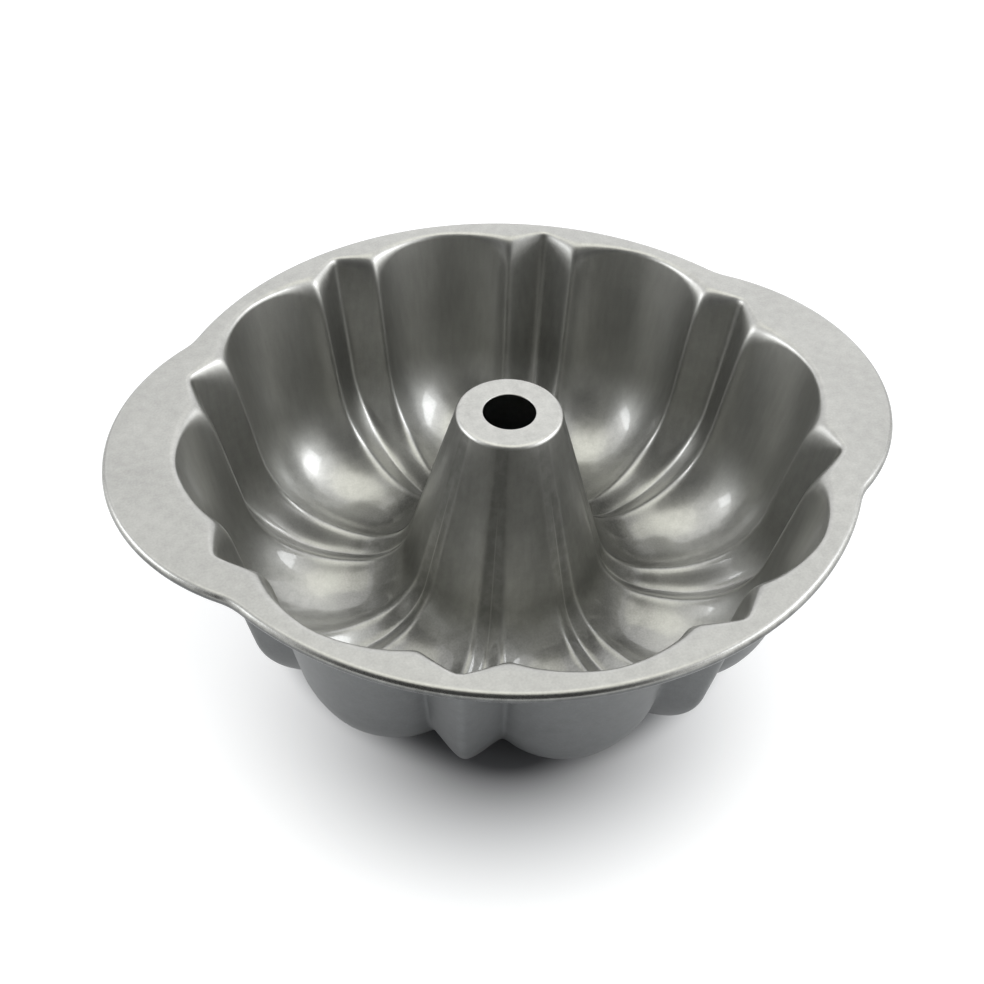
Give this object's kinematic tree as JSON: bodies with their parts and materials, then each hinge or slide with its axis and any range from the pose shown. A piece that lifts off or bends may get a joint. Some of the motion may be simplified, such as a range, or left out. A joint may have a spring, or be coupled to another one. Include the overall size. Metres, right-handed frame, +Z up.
{
  "type": "fluted tube pan",
  "caption": "Fluted ring cake pan of glazed sheet steel with a tapered open tube in the middle, a flat rim with a rolled wired edge, and two broad ears to lift it by.",
  "frame": {"origin": "on the table, in the middle under the tube", "axes": "+X through the middle of one ear, +Z up along the tube"},
  "size_m": [0.288, 0.254, 0.088],
  "materials": {
    "glazed_steel": "satin silver-grey release glaze over aluminised sheet steel",
    "plain_steel": "bare drawn wire, hidden in the rolled edge"
  },
  "bodies": {
    "root": {"pan_body": "glazed_steel", "centre_tube": "glazed_steel", "rim_wire": "plain_steel"}
  },
  "joints": []
}
